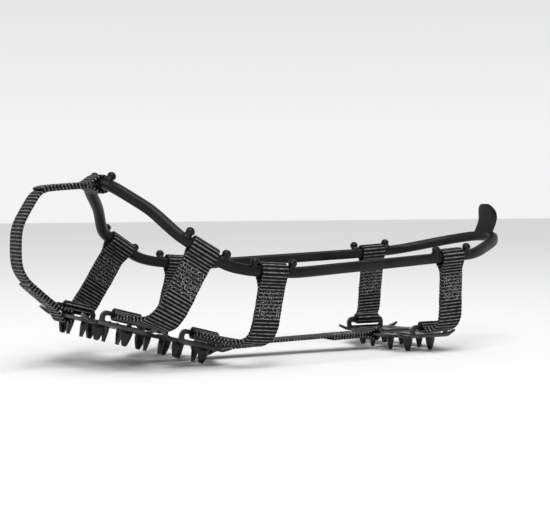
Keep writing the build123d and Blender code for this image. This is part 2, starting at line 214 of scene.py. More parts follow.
# --- sizes of the rubber's details ---
band_ease = 4.0  # how far the bends of the band are spread
band_fullness = 0.96  # of the band radius, across the flats
band_corner = 2.8  # 2 would make the band round, and more makes it squarer
band_step = 1.6
band_sides = 24
knob_profile = (  # height above the band's middle, and radius
    (1.8, 2.9), (2.6, 2.5), (3.1, 2.15), (3.6, 1.95), (4.0, 1.98), (4.4, 2.2), (4.8, 2.34),
    (5.2, 2.38), (5.7, 2.3), (6.2, 2.05), (6.7, 1.6), (7.05, 1.1), (7.28, 0.5), (7.33, 0.1),
)
knob_sides = 20
tab_foot = -1.6  # the tab's foot and the heights on it, from the band's middle
tab_height = 21.0
tab_half_width = 8.5
tab_top_round = 7.2
tab_flare = (0.8, 3.5)  # extra half width at the foot, and the height where it ends
tab_half_thickness = 1.35
tab_swell = (0.9, 3.0)  # extra half thickness at the foot, and the height where it ends
tab_bow = 3.2  # how far it bows backwards
tab_bow_start = 2.0
tab_bow_shape = 1.3  # above 1 the bow is more in its middle
tab_section = (0.55, 0.8)  # 1 would make the section an ellipse, and less makes it squarer
tab_cup = 0.35  # its edges curl towards the boot
tab_levels = 26
tab_sides = 28


# --- vectors and planes ---
def mirrored(point, side):
    """A point of the left side (1), or its mirror image on the right (-1)."""
    return Vector((point[0], side * point[1], point[2]))


def square_to(direction, axis):
    """The part of a direction that is square to a unit axis, as a unit vector."""
    return (direction - axis * direction.dot(axis)).normalized()


def plate_point(plate, x, y, z):
    """A point in a plate's own coordinates, brought to the drawing's."""
    origin, angle = plate
    forward = Vector((cos(angle), 0, sin(angle)))
    up = Vector((-sin(angle), 0, cos(angle)))
    return origin + forward * x + Vector((0, y, 0)) + up * z


forefoot = (Vector((forefoot_x, 0, forefoot_z)), pitch)
heel = (Vector((heel_x, 0, heel_z)), 0.0)
forefoot_bar = Vector((cos(pitch), 0, sin(pitch)))
heel_bar = Vector((1, 0, 0))


# --- meshes ---
def new_piece(name, points, faces, weave=None):
    """A mesh object from millimetre points of the drawing; weave is a vector for each point."""
    mesh = bpy.data.meshes.new(name)
    mesh.from_pydata([((p[0] + shift) * MM, p[1] * MM, p[2] * MM) for p in points], [], faces)
    mesh.validate()
    if weave:
        layer = mesh.attributes.new("weave", "FLOAT_VECTOR", "POINT")
        layer.data.foreach_set("vector", [value for w in weave for value in w])
    mesh.polygons.foreach_set("use_smooth", [True] * len(mesh.polygons))
    piece = bpy.data.objects.new(name, mesh)
    bpy.context.scene.collection.objects.link(piece)
    return piece


def weight_normals(piece):
    """Large faces keep their own direction, so that only the rounded edges shade softly."""
    modifier = piece.modifiers.new("normals", "WEIGHTED_NORMAL")
    modifier.weight = 90
    evaluated = piece.evaluated_get(bpy.context.evaluated_depsgraph_get())
    final = bpy.data.meshes.new_from_object(evaluated)
    piece.modifiers.clear()
    piece.data = final


def dress(piece, material, slot, body, *nodes):
    """Gives a piece its material and its body, and hides the nodes that it stands for; slot is not used."""
    piece.data.materials.clear()
    piece.data.materials.append(material)
    if body:
        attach(piece, body)
    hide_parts(*nodes)


def skin(rings, count, closed=False):
    """Faces over rings of points that follow one another, with caps unless the rings close."""
    faces = []
    for ring in range(rings if closed else rings - 1):
        low, high = ring * count, (ring + 1) % rings * count
        for i in range(count):
            j = (i + 1) % count
            faces.append((low + i, low + j, high + j, high + i))
    if not closed:
        faces.append(tuple(reversed(range(count))))
        faces.append(tuple(range((rings - 1) * count, rings * count)))
    return faces


def tube(path, radii, frames, section):
    """Points and faces of a capped tube; section gives (across, up) for a unit radius."""
    points = []
    for centre, radius, (across, up) in zip(path, radii, frames):
        points += [centre + (across * a + up * b) * radius for a, b in section]
    return points, skin(len(path), len(section))


def gather(groups):
    """One list of points and faces from several."""
    points, faces = [], []
    for more_points, more_faces in groups:
        base = len(points)
        points += more_points
        faces += [tuple(base + i for i in face) for face in more_faces]
    return points, faces


def circle_section(count):
    """Points round a unit circle."""
    return [(cos(2 * pi * i / count), sin(2 * pi * i / count)) for i in range(count)]


def rounded_route(corners, radii, step):
    """Points along straight runs joined by arcs, no further apart than step."""
    stretches = [corners[0]]
    for before, corner, after, radius in zip(corners, corners[1:], corners[2:], radii):
        back = (before - corner).normalized()
        ahead = (after - corner).normalized()
        half = acos(max(-1.0, min(1.0, back.dot(ahead)))) / 2
        reach = radius / tan(half)
        centre = corner + (back + ahead).normalized() * (radius / sin(half))
        start = corner + back * reach - centre
        finish = corner + ahead * reach - centre
        turn = pi - 2 * half
        pieces = max(2, ceil(radius * turn / step))
        for i in range(pieces + 1):
            share = i / pieces
            spoke = start * sin((1 - share) * turn) + finish * sin(share * turn)
            stretches.append(centre + spoke / sin(turn))
    stretches.append(corners[-1])
    route = [stretches[0]]
    for point in stretches[1:]:
        gap = point - route[-1]
        pieces = max(1, ceil(gap.length / step - 0.001))
        start = route[-1]
        route += [start + gap * ((i + 1) / pieces) for i in range(pieces)]
    return route


def relaxed(route, softness, closed=False):
    """A route with its bends spread out, as a limp or elastic thing takes them; softness is in steps."""
    reach = int(3 * softness)
    offsets = np.arange(-reach, reach + 1)
    weights = np.exp(-0.5 * (offsets / softness) ** 2)
    weights /= weights.sum()
    line = np.array(route)
    if closed:
        padded = np.concatenate([line[-reach:], line, line[:reach]])
    else:
        before = 2 * line[0] - line[reach:0:-1]
        after = 2 * line[-1] - line[-2:-reach - 2:-1]
        padded = np.concatenate([before, line, after])
    soft = [np.convolve(padded[:, axis], weights, "valid") for axis in range(3)]
    return [Vector(p) for p in zip(*soft)]


def directions(route):
    """The direction of a route at each of its points."""
    ahead = route[1:] + [route[-1] * 2 - route[-2]]
    behind = [route[0] * 2 - route[1]] + route[:-1]
    return [(a - b).normalized() for a, b in zip(ahead, behind)]


# --- sheet metal ---
def triangulate(outline, holes, lines):
    """Triangles of a flat pattern; lines are extra points and edges that the faces keep."""
    points = []
    edges = []

    def add_ring(ring, closed=True):
        base = len(points)
        points.extend(Vector(p) for p in ring)
        count = len(ring)
        edges.extend((base + i, base + (i + 1) % count) for i in range(count if closed else count - 1))

    add_ring(outline)
    for ring in holes:
        add_ring(ring)
    for line in lines:
        add_ring(line, closed=False)
    filled = geometry.delaunay_2d_cdt(points, edges, [], 0, 1e-5)
    flat, triangles = filled[0], filled[2]
    kept = []
    for triangle in triangles:
        centre = (flat[triangle[0]] + flat[triangle[1]] + flat[triangle[2]]) / 3
        if inside(centre, outline) and not any(inside(centre, ring) for ring in holes):
            kept.append(tuple(triangle))
    return [tuple(p) for p in flat], kept


def inside(point, ring):
    """Whether a flat point lies in a closed outline."""
    odd = False
    for (ax, ay), (bx, by) in zip(ring, ring[1:] + ring[:1]):
        if (ay > point.y) != (by > point.y):
            if point.x < ax + (point.y - ay) / (by - ay) * (bx - ax):
                odd = not odd
    return odd


def arc(centre, radius, start, finish, count):
    """Flat points along an arc, with its angles in degrees."""
    turn = [radians(start + (finish - start) * i / count) for i in range(count + 1)]
    return [(centre[0] + radius * cos(a), centre[1] + radius * sin(a)) for a in turn]


def rounded_box(centre, size, radius):
    """The outline of a box with rounded corners."""
    x, y = size[0] / 2 - radius, size[1] / 2 - radius
    ring = []
    for quarter, (sx, sy) in enumerate(((1, 1), (-1, 1), (-1, -1), (1, -1))):
        corner = (centre[0] + sx * x, centre[1] + sy * y)
        ring += arc(corner, radius, 90 * quarter, 90 * quarter + 90, 4)
    return ring


bend_length = fold_radius * pi / 2
fold_start = flange_y - fold_radius


def flange_flat(height):
    """How far out a height of the side flange lies in the flat pattern."""
    return fold_start + bend_length + height - fold_radius


def fold_flange(side, y):
    """Where a flat y beyond the fold goes: its new y and z."""
    run = y * side - fold_start
    if run <= 0:
        return y, 0.0
    if run < bend_length:
        angle = run / fold_radius
        return side * (fold_start + fold_radius * sin(angle)), fold_radius * (1 - cos(angle))
    return side * flange_y, fold_radius + run - bend_length


def flange_edge(lobe):
    """Outline of the left flange in the flat pattern, from its front to its rear."""
    half = flange_length / 2
    top = flange_flat(flange_top)
    front = [(lobe + half, side_y), (lobe + half, fold_start)]
    front += [(lobe + half, fold_start + bend_length * (i + 1) / fold_lines) for i in range(fold_lines)]
    front += arc((lobe + half - flange_corner, top - flange_corner), flange_corner, 0, 90, 8)
    rear = [(2 * lobe - x, y) for x, y in reversed(front)]
    return front + rear


def horn_edge(lobe, end):
    """Outline of one pointed corner, from the sloped end to the side."""
    shape = [(15.05, 26.2), (15.6, 26.5), (17.6, 27.3), (19.6, 28.1), (20.9, 28.6)]
    shape += [(21.15, 28.95), (20.8, 29.25), (19.2, 29.5), (17.2, 29.9), (15.4, 30.6), (14.2, 31.0)]
    return [(lobe + end * x, y) for x, y in shape]


def lobe_edge(lobe, first_end, last_end):
    """Left side of a lobe's outline from front to rear, or without an end at a waist."""
    edge_points = []
    if first_end:
        edge_points += [(lobe + lobe_half_length, lobe_end_half_width)]
    edge_points += [(lobe + corner_x, corner_y)] + horn_edge(lobe, 1)
    edge_points += [(lobe + side_half_length, side_y)] + flange_edge(lobe)
    edge_points += [(lobe - side_half_length, side_y)]
    edge_points += list(reversed(horn_edge(lobe, -1))) + [(lobe - corner_x, corner_y)]
    if last_end:
        edge_points += [(lobe - lobe_half_length, lobe_end_half_width)]
    return edge_points


def waist_edge():
    """The rounded bottom of the notch between the two lobes of the forefoot plate."""
    slope = atan((corner_y - waist_half_width) / (lobe_x - corner_x))
    centre = (0, waist_half_width + notch_radius / cos(slope))
    return arc(centre, notch_radius, -90 + degrees(slope), -90 - degrees(slope), 10)


def tooth_ring(hinge, inward):
    """The hole that a tooth leaves, with small relief corners at its bend."""
    half = tooth_half_width
    local = [(-tooth_bend, half)] + [(x, half + wider) for x, wider in hole_relief]
    local += hole_tip
    ring = local + [(x, -y) for x, y in reversed(local)]
    ring += [(-tooth_bend, -half + half * (i + 1) / 3) for i in range(5)]
    across = (-inward[1], inward[0])
    return [
        (hinge[0] + inward[0] * x + across[0] * y, hinge[1] + inward[1] * x + across[1] * y)
        for x, y in ring
    ]


def tooth_places(lobe):
    """Hinge and inward direction of each of the eight teeth of a lobe."""
    places = []
    for end in (-1, 1):
        for side in (-1, 1):
            places.append(((lobe + end * inner_tooth[0], side * inner_tooth[1]), (-end, 0)))
            places.append(((lobe + end * outer_tooth[0], side * outer_tooth[1]), (0, -side)))
    return places


def tooth_surface(hinge, inward):
    """Middle surface of one tooth, from its bend to its tip, grooved down its length."""
    rows = []
    for i in range(tooth_bend_rows + 1):
        angle = pi / 2 * i / tooth_bend_rows
        run = -tooth_bend + tooth_bend * sin(angle)
        rows.append((run, -tooth_bend * (1 - cos(angle)), tooth_half_width))
    straight = tooth_depth - tooth_bend
    for i in range(1, tooth_rows + 1):
        share = i / tooth_rows
        half = tooth_half_width + (tooth_tip_half - tooth_half_width) * share ** tooth_taper
        rows.append((0.0, -tooth_bend - straight * share, half))
    across = (-inward[1], inward[0])
    points = []
    for index, (run, drop, half) in enumerate(rows):
        groove = tooth_groove * min(1.0, index / (tooth_bend_rows + 1)) * sqrt(half / tooth_half_width)
        for a in tooth_columns:
            side_step = a * half
            out = run - groove * (1 - a * a)
            round_tip = tooth_tip_round * a * a if index == len(rows) - 1 else 0.0
            points.append((
                hinge[0] + inward[0] * out + across[0] * side_step,
                hinge[1] + inward[1] * out + across[1] * side_step,
                drop + round_tip,
            ))
    faces = []
    wide = len(tooth_columns)
    for r in range(len(rows) - 1):
        for c in range(wide - 1):
            low = r * wide + c
            faces.append((low, low + wide, low + wide + 1, low + 1))
    return points, faces


def merge(points, faces, gap=0.004):
    """Points that lie on one another become one."""
    seen = {}
    kept = []
    new_index = []
    for point in points:
        key = tuple(round(c / gap) for c in point)
        near = (tuple(k + d for k, d in zip(key, step)) for step in product((-1, 0, 1), repeat=3))
        found = next((seen[other] for other in near if other in seen), None)
        if found is None:
            found = len(kept)
            seen[key] = found
            kept.append(point)
        new_index.append(found)
    joined = [tuple(new_index[i] for i in face) for face in faces]
    return kept, [face for face in joined if len(set(face)) == len(face)]


def thicken(points, faces, thickness, rounding):
    """A solid from a middle surface, with its edges rounded in two steps."""
    points = [Vector(p) for p in points]
    normals = [Vector() for _ in points]
    sides = {}
    for face in faces:
        corners = [points[i] for i in face]
        for i, index in enumerate(face):
            one = corners[i - 1] - corners[i]
            two = corners[(i + 1) % len(face)] - corners[i]
            if one.length and two.length:
                normal = two.cross(one)
                if normal.length > 1e-9:
                    normals[index] += normal.normalized() * one.angle(two)
            sides[(index, face[(i + 1) % len(face)])] = True
    normals = [n.normalized() for n in normals]
    rim = [pair for pair in sides if (pair[1], pair[0]) not in sides]
    outward = {}
    for a, b in rim:
        side_way = (points[b] - points[a]).cross((normals[a] + normals[b]) / 2).normalized()
        for index in (a, b):
            outward.setdefault(index, []).append(side_way)
    half = thickness / 2
    soft = rounding * (1 - sqrt(0.5))
    levels = [(half, rounding), (half - soft, soft), (half - rounding, 0.0)]
    levels += [(-height, inset) for height, inset in reversed(levels)]
    last = len(levels) - 1
    miter = {}
    for index, ways in outward.items():
        total = sum(ways, Vector()).normalized()
        miter[index] = total / max(sharpest_miter, total.dot(ways[0]))
    made = []
    place = {}

    def put(index, level):
        if (index, level) not in place:
            height, inset = levels[level]
            inset = inset if index in miter else 0.0
            step = miter.get(index, Vector())
            place[(index, level)] = len(made)
            made.append(points[index] + normals[index] * height - step * inset)
        return place[(index, level)]

    solid = []
    for face in faces:
        solid.append(tuple(put(i, 0) for i in face))
        solid.append(tuple(put(i, last) for i in reversed(face)))
    for a, b in rim:
        for level in range(last):
            solid.append((put(b, level), put(a, level), put(a, level + 1), put(b, level + 1)))
    return made, solid


def rib_lines(lobe):
    """Rings round the pressed rib of a lobe, each with its height."""
    rings = []
    for half, share in rib_profile:
        reach = rib_half_length - rib_end + half * rib_end_slope
        ring = arc((lobe + reach, 0), half, -90, 90, 8) + arc((lobe - reach, 0), half, 90, 270, 8)
        rings.append((ring + ring[:1], rib_rise * share))
    return rings


def horn_lift(x, y, lobes):
    """How far a pointed corner rises above the sheet."""
    if abs(y) < corner_y or abs(y) > side_y + 0.01:
        return 0.0
    lobe = min(lobes, key=lambda centre: abs(x - centre))
    beyond = abs(x - lobe) - side_half_length - horn_start
    if beyond <= 0:
        return 0.0
    if beyond < horn_bend:
        return tan(horn_rise) * (beyond * beyond / (2 * horn_bend))
    return tan(horn_rise) * (beyond - horn_bend / 2)


def plate_surface(lobes, cross_slots):
    """Middle surface of a whole plate in its own coordinates."""
    if len(lobes) == 2:
        left = lobe_edge(lobes[1], True, False) + waist_edge() + lobe_edge(lobes[0], False, True)
    else:
        left = lobe_edge(lobes[0], True, True)
    right = [(x, -y) for x, y in reversed(left)]
    outline = left + right
    holes = [rounded_box((x, 0), (slot_width, slot_length), slot_corner) for x in cross_slots]
    lines = []
    teeth = []
    heights = {}
    for lobe in lobes:
        for place in tooth_places(lobe):
            holes.append(tooth_ring(*place))
            teeth.append(tooth_surface(*place))
        for ring, height in rib_lines(lobe):
            lines.append(ring)
            for x, y in ring:
                heights[(round(x, 3), round(y, 3))] = height
        for side in (-1, 1):
            slot_middle = (flange_flat(flange_slot[0]) + flange_flat(flange_slot[1])) / 2
            slot_size = (flange_slot_length, flange_slot[1] - flange_slot[0])
            holes.append(rounded_box((lobe, side * slot_middle), slot_size, flange_slot_corner))
            half = flange_length / 2
            for i in range(fold_lines + 1):
                y = side * (fold_start + bend_length * i / fold_lines)
                lines.append([(lobe - half, y), (lobe + half, y)])
            for end in (-1, 1):
                for x in horn_lines:
                    along = lobe + end * (side_half_length + x)
                    lines.append([(along, side * y) for y in horn_line_ends])
    flat, triangles = triangulate(outline, holes, lines)
    points = []
    for x, y in flat:
        side = 1 if y > 0 else -1
        new_y, z = fold_flange(side, y)
        z += heights.get((round(x, 3), round(y, 3)), 0.0)
        z += horn_lift(x, y, lobes)
        points.append((x, new_y, z))
    surface = gather([(points, triangles)] + teeth)
    return merge(*surface)


def make_plate(name, plate, lobes, cross_slots):
    """A whole plate, as thick as its sheet and in its place."""
    points, faces = plate_surface(lobes, cross_slots)
    points, faces = thicken(points, faces, sheet, edge)
    placed = [plate_point(plate, *p) for p in points]
    piece = new_piece(name, placed, faces)
    weight_normals(piece)
    return piece


# --- webbing ---
def strap_route(low, corners, bends, high, ease):
    """Middle of a strap between its two necks, as stations of point, width and normal.

    Each end has its bar's middle and direction, and the point that the strap leaves it towards.
    """
    low_point, low_bar, low_target, low_neck = low
    high_point, high_bar, high_target = high
    start = low_point + square_to(low_target - low_point, low_bar) * low_neck
    finish = high_point + square_to(high_target - high_point, high_bar) * neck
    route = rounded_route([start, *corners, finish], bends, weave_step)
    if corners:
        route = relaxed(route, min(ease / weave_step, len(route) / 7))
    ways = directions(route)
    stations = []
    for i, (point, way) in enumerate(zip(route, ways)):
        share = (1 - i / (len(route) - 1)) ** 3
        width = (low_bar * share + high_bar * (1 - share)).normalized()
        stations.append((point, width, way.cross(width).normalized()))
    return stations


def loop_stations(centre, bar, inner, target, outward, opening):
    """Stations round a loop, from its outward layer to the other, past its far side."""
    into = square_to(target - centre, bar)
    normal = square_to(square_to(outward, bar), into)
    radius = inner + web / 2
    first = radians(opening)
    count = ceil(radius * (2 * pi - 2 * first) / weave_step)
    stations = []
    for i in range(count + 1):
        angle = first + (2 * pi - 2 * first) * i / count
        spoke = into * cos(angle) + normal * sin(angle)
        stations.append((centre + spoke * radius, bar, spoke))
    return stations


def layer(stations, offset):
    """One layer of a strap, moved off its middle along the normal that it faces."""
    return [(p + n * offset, w, n) for p, w, n in stations]


def bridge(one, two):
    """Stations that lead smoothly from the last of one list to the first of the other."""
    (a, wa, na), (b, wb, nb) = one[-1], two[0]
    way_a = (a - one[-2][0]).normalized()
    way_b = (two[1][0] - b).normalized()
    reach = (b - a).length
    count = max(2, round(reach / weave_step))
    stations = []
    for i in range(1, count):
        t = i / count
        point = a * (2 * t ** 3 - 3 * t * t + 1) + b * (3 * t * t - 2 * t ** 3)
        point += way_a * reach * (t ** 3 - 2 * t * t + t) + way_b * reach * (t ** 3 - t * t)
        stations.append((point, wa.lerp(wb, t).normalized(), na.lerp(nb, t).normalized()))
    return stations


def flipped(stations):
    """The same stations the other way round, seen from the other face."""
    return [(p, w, -n) for p, w, n in reversed(stations)]


def even(stations):
    """Stations spaced evenly along the webbing, with normals square to it."""
    points = [s[0] for s in stations]
    travelled = [0.0]
    for a, b in zip(points, points[1:]):
        travelled.append(travelled[-1] + (b - a).length)
    count = round(travelled[-1] / weave_step)
    result = []
    index = 0
    for i in range(count + 1):
        goal = travelled[-1] * i / count
        while index < len(points) - 2 and travelled[index + 1] < goal:
            index += 1
        share = (goal - travelled[index]) / (travelled[index + 1] - travelled[index] or 1.0)
        (a, wa, na), (b, wb, nb) = stations[index], stations[index + 1]
        result.append((a.lerp(b, share), wa.lerp(wb, share).normalized(), na.lerp(nb, share)))
    ways = directions([s[0] for s in result])
    settled = []
    for (point, width, normal), way in zip(result, ways):
        square = way.cross(width).normalized()
        settled.append((point, width, square if square.dot(normal) > 0 else -square))
    return settled


def web_ring():
    """The section of the webbing as points: across, height, and how much of a rib each takes."""
    half = web_width / 2
    thick = web / 2
    inset, low = web_edge_turn
    columns = [-half + x for x in web_edge_columns]
    columns += web_middle_columns
    columns += [half - x for x in reversed(web_edge_columns)]
    face = [(u, thick, 1.0 if abs(u) < half - selvedge else selvedge_ribs) for u in columns]
    edge_turn = [(half - inset, thick * low, 0.0), (half, 0.0, 0.0), (half - inset, -thick * low, 0.0)]
    back = [(u, -h, ribbed) for u, h, ribbed in reversed(face)]
    return face + edge_turn + back + [(-u, -h, ribbed) for u, h, ribbed in edge_turn]


def web_mesh(name, stations):
    """The webbing itself: a flat woven strip with a rib every few threads and firm edges."""
    ring = web_ring()
    points, weave = [], []
    for i, (point, width, normal) in enumerate(stations):
        along = i * weave_step
        wave = 0.5 + 0.5 * cos(2 * pi * along / weave_pitch)
        drift = sum(size * sin(along * pace + start) for size, pace, start in web_drift)
        for u, h, ribbed in ring:
            rise = weave_rise * ribbed * (wave - 0.5) * (1 if h > 0 else -1)
            crimp = 0.0 if ribbed else -edge_crimp * wave * (1 if u > 0 else -1)
            points.append(point + width * (u + drift + crimp) + normal * (h + rise))
            weave.append((u, along, h))
    return new_piece(name, points, skin(len(stations), len(ring)), weave)


def double_strap(low, corners, bends, high, ease, tail_low, tail_high, folded_out):
    """Stations of a whole strap: a tail, a loop, the run between, the other loop and a tail.

    The tails lie against the run, on its inner side, or on its outer side if folded_out.
    """
    low_point, low_bar, low_neck, low_inner = low
    high_point, high_bar, high_inner = high
    low_target = corners[0] if corners else high_point
    high_target = corners[-1] if corners else low_point
    low_end = (low_point, low_bar, low_target, low_neck)
    middle = strap_route(low_end, corners, bends, (high_point, high_bar, high_target), ease)
    turn = 1 if (middle[0][2].z < 0) != folded_out else -1
    run = [(p, w, n * turn) for p, w, n in middle]
    apart = (web + layer_gap) / 2
    main = layer(run, apart)
    opening = flange_loop_opening if low_neck == flange_neck else loop_opening
    low_loop = loop_stations(low_point, low_bar, low_inner, low_target, run[0][2], opening)
    high_loop = loop_stations(high_point, high_bar, high_inner, high_target, run[-1][2], loop_opening)
    back = flipped(layer(run, -apart))
    steps = len(back)
    tail_a = back[steps - max(3, int(tail_low / weave_step)):]
    tail_b = back[:max(3, int(tail_high / weave_step))]
    whole = list(tail_a)
    for part in (low_loop[::-1], main, high_loop, tail_b):
        whole += bridge(whole, part) + part
    return even(whole), run


# --- stitching ---
stitch_section = circle_section(6)


def stitch(middle, way, normal):
    """One stitch: a short thread that dives into the webbing at both ends."""
    across = way.cross(normal).normalized()
    path = [middle + way * share + normal * height for share, height, _ in stitch_profile]
    radii = [thread_radius * size for _, _, size in stitch_profile]
    return tube(path, radii, [(across, normal)] * len(path), stitch_section)


def stitch_block(run, near, far, flip):
    """Crossing rows of stitches on one face (1 or -1) of a strap, between two places on its run."""
    groups = []
    first, last = int(near / weave_step), int(far / weave_step)
    for row in range(stitch_rows):
        across = stitched_width * ((row + 0.5) / stitch_rows - 0.5)
        for count, index in enumerate(range(first + row % 2, last, stitch_step)):
            point, width, normal = run[index]
            ahead = (run[index + 1][0] - point).normalized()
            lean = stitch_lean if (count + row) % 2 else -stitch_lean
            turn = radians(lean + random.uniform(-stitch_sway, stitch_sway))
            way = (ahead * cos(turn) + width * sin(turn)) * stitch_length * random.uniform(*stitch_lengths)
            stray = width * random.uniform(-1, 1) + ahead * random.uniform(-1, 1)
            middle = point + width * across + stray * stitch_shake + normal * stitch_lift * flip
            groups.append(stitch(middle, way, normal * flip))
    return groups


# --- the band ---
def route_point(index, side):
    """A corner of the band's route: 0 is the middle of the toe, the last the middle of the heel."""
    if index == 0:
        return Vector(toe_middle)
    if index > len(band_route):
        return Vector(heel_middle)
    return mirrored(band_route[index - 1][0], side)


def on_run(index, x, side):
    """The point of the band's route at x, between a corner and the next, and its direction."""
    first = route_point(index, side)
    second = route_point(index + 1, side)
    share = (x - first.x) / (second.x - first.x)
    return first.lerp(second, share), (first - second).normalized()


def band_section(count):
    """A rounded square, which is how the band is moulded."""
    ring = []
    for i in range(count):
        angle = 2 * pi * (i + 0.5) / count
        c, s = cos(angle), sin(angle)
        size = band_fullness * (abs(c) ** band_corner + abs(s) ** band_corner) ** (-1 / band_corner)
        ring.append((c * size, s * size))
    return ring


def band_ring():
    """The whole band as one closed ring."""
    left = [route_point(i, 1) for i in range(1, len(band_route) + 1)]
    right = [route_point(i, -1) for i in range(len(band_route), 0, -1)]
    radii = [r for _, r in band_route]
    toe = route_point(0, 1)
    route = rounded_route([toe, *left, *right, toe], radii + radii[::-1], band_step)[:-1]
    route = relaxed(route, band_ease / band_step, closed=True)
    closed = [route[-1], *route, route[0]]
    section = band_section(band_sides)
    points = []
    for i in range(1, len(closed) - 1):
        way = (closed[i + 1] - closed[i - 1]).normalized()
        up = square_to(Vector((0, 0, 1)), way)
        across = way.cross(up)
        points += [closed[i] + (across * a + up * b) * band_radius for a, b in section]
    return points, skin(len(route), len(section), closed=True)


def knob(centre, direction, leaning):
    """A ball-headed knob with a flared foot, standing on the band."""
    lean = square_to(Vector((0, 0, 1)) + leaning, direction)
    across = lean.cross(direction)
    path = [centre + lean * height for height, _ in knob_profile]
    radii = [radius for _, radius in knob_profile]
    return tube(path, radii, [(direction, across)] * len(path), circle_section(knob_sides))


# --- materials ---
def new_material(name, colour, roughness, specular):
    """A material and its shader, with the values that it has where nothing is joined to them."""
    material = bpy.data.materials.new(name)
    material.use_nodes = True
    shader = material.node_tree.nodes["Principled BSDF"]
    shader.inputs["Base Color"].default_value = (*colour, 1)
    shader.inputs["Roughness"].default_value = roughness
    shader.inputs["Specular IOR Level"].default_value = specular
    return material, shader


def node(material, kind, **settings):
    """A new node in the tree of a material or of the world."""
    made = material.node_tree.nodes.new(kind)
    for key, value in settings.items():
        setattr(made, key, value)
    return made


def join(material, source, target):
    material.node_tree.links.new(source, target)


def noise(material, scale, detail=4.0, roughness=0.5):
    """Noise over the piece's own metres; scale is in grains to the metre."""
    place = node(material, "ShaderNodeTexCoord")
    grain = node(material, "ShaderNodeTexNoise")
    grain.inputs["Scale"].default_value = scale
    grain.inputs["Detail"].default_value = detail
    grain.inputs["Roughness"].default_value = roughness
    join(material, place.outputs["Object"], grain.inputs["Vector"])
    return grain.outputs["Fac"]


def spread(material, source, low, high, new_low, new_high):
    """A value brought from one range to another, and kept within it."""
    change = node(material, "ShaderNodeMapRange")
    for name, value in (("From Min", low), ("From Max", high), ("To Min", new_low), ("To Max", new_high)):
        change.inputs[name].default_value = value
    join(material, source, change.inputs["Value"])
    return change.outputs["Result"]


def calculate(material, operation, one, two=None):
    """One sum with sockets or numbers."""
    step = node(material, "ShaderNodeMath", operation=operation)
    for socket, value in zip(step.inputs, (one, two)):
        if value is None:
            continue
        if isinstance(value, (int, float)):
            socket.default_value = value
        else:
            join(material, value, socket)
    return step.outputs[0]


def tint(material, shader, factor, one, two):
    """The shader's colour, from one to the other as the factor goes from 0 to 1."""
    mix = node(material, "ShaderNodeMix", data_type="RGBA")
    mix.inputs[6].default_value = (*one, 1)
    mix.inputs[7].default_value = (*two, 1)
    join(material, factor, mix.inputs[0])
    join(material, mix.outputs[2], shader.inputs["Base Color"])


def bump(material, shader, height, strength, distance):
    """Fine relief from a height; distance is in metres."""
    bumps = node(material, "ShaderNodeBump")
    bumps.inputs["Strength"].default_value = strength
    bumps.inputs["Distance"].default_value = distance
    join(material, height, bumps.inputs["Height"])
    join(material, bumps.outputs["Normal"], shader.inputs["Normal"])


def steel_material():
    """Black coated steel: a satin skin with a fine grain, paler on its edges, partly as wear on the coating
    and partly as a painted highlight.
    """
    material, shader = new_material("coated_steel", (0.010, 0.010, 0.0105), 0.34, 0.35)
    cloud = noise(material, 90, 5)
    grain = noise(material, 2600, 2)
    point = node(material, "ShaderNodeNewGeometry").outputs["Pointiness"]
    # painted highlight and wear: sharp edges and folds are painted paler, partly as wear on the coating and
    # partly as a highlight along them
    edge_wear_and_highlight_mask = spread(material, point, 0.53, 0.60, 0, 1)
    edge_wear_and_highlight = calculate(material, "MULTIPLY", edge_wear_and_highlight_mask, spread(material, cloud, 0.35, 0.65, 0.25, 1))
    tint(material, shader, edge_wear_and_highlight, (0.004, 0.004, 0.0042), (0.22, 0.22, 0.224))
    patches = spread(material, cloud, 0.3, 0.7, 0.24, 0.38)
    uneven = calculate(material, "ADD", patches, spread(material, grain, 0.3, 0.7, -0.04, 0.06))
    join(material, uneven, shader.inputs["Roughness"])
    bump(material, shader, grain, 0.25, 0.00006)
    return material


def webbing_material():
    """Black ribbed nylon: the crest of each rib carries a painted highlight, a thin pale line of small
    threads.
    """
    material, shader = new_material("ribbed_webbing", (0.004, 0.004, 0.0042), 0.6, 0.12)
    weave = node(material, "ShaderNodeAttribute", attribute_name="weave")
    split = node(material, "ShaderNodeSeparateXYZ")
    join(material, weave.outputs["Vector"], split.inputs["Vector"])
    across, along = split.outputs["X"], split.outputs["Y"]
    rib = calculate(material, "COSINE", calculate(material, "MULTIPLY", along, 2 * pi / weave_pitch))
    crest = calculate(material, "POWER", spread(material, rib, 0.0, 1.0, 0, 1), 2.0)
    yarn_turn = calculate(material, "MULTIPLY", across, 2 * pi / yarn_pitch)
    yarn = spread(material, calculate(material, "COSINE", yarn_turn), -0.8, 1, 0.8, 1)
    cloud = spread(material, noise(material, 420, 3), 0.3, 0.7, 0.3, 1.3)
    # painted highlight: the pale colour on each rib's crest, broken up by the threads and a cloud, stands
    # in for light catching the crests
    light = calculate(material, "MULTIPLY", calculate(material, "MULTIPLY", crest, yarn), cloud)
    tint(material, shader, light, (0.0022, 0.0022, 0.0022), (0.22, 0.22, 0.222))
    fibre = noise(material, 5200, 2)
    threads = calculate(material, "MULTIPLY", yarn, 0.9)
    height = calculate(material, "ADD", threads, calculate(material, "MULTIPLY", fibre, 0.5))
    bump(material, shader, height, 0.5, 0.00012)
    join(material, spread(material, fibre, 0.3, 0.7, 0.5, 0.72), shader.inputs["Roughness"])
    return material


def rubber_material():
    """Moulded black rubber: nearly matt, with a soft broad sheen and a few dusty patches."""
    material, shader = new_material("moulded_rubber", (0.007, 0.007, 0.0075), 0.42, 0.22)
    cloud = noise(material, 60, 5)
    grain = noise(material, 1900, 3)
    dust = spread(material, cloud, 0.42, 0.75, 0, 1)
    tint(material, shader, dust, (0.003, 0.003, 0.0033), (0.008, 0.008, 0.0086))
    join(material, spread(material, cloud, 0.3, 0.7, 0.34, 0.5), shader.inputs["Roughness"])
    bump(material, shader, grain, 0.18, 0.00008)
    return material


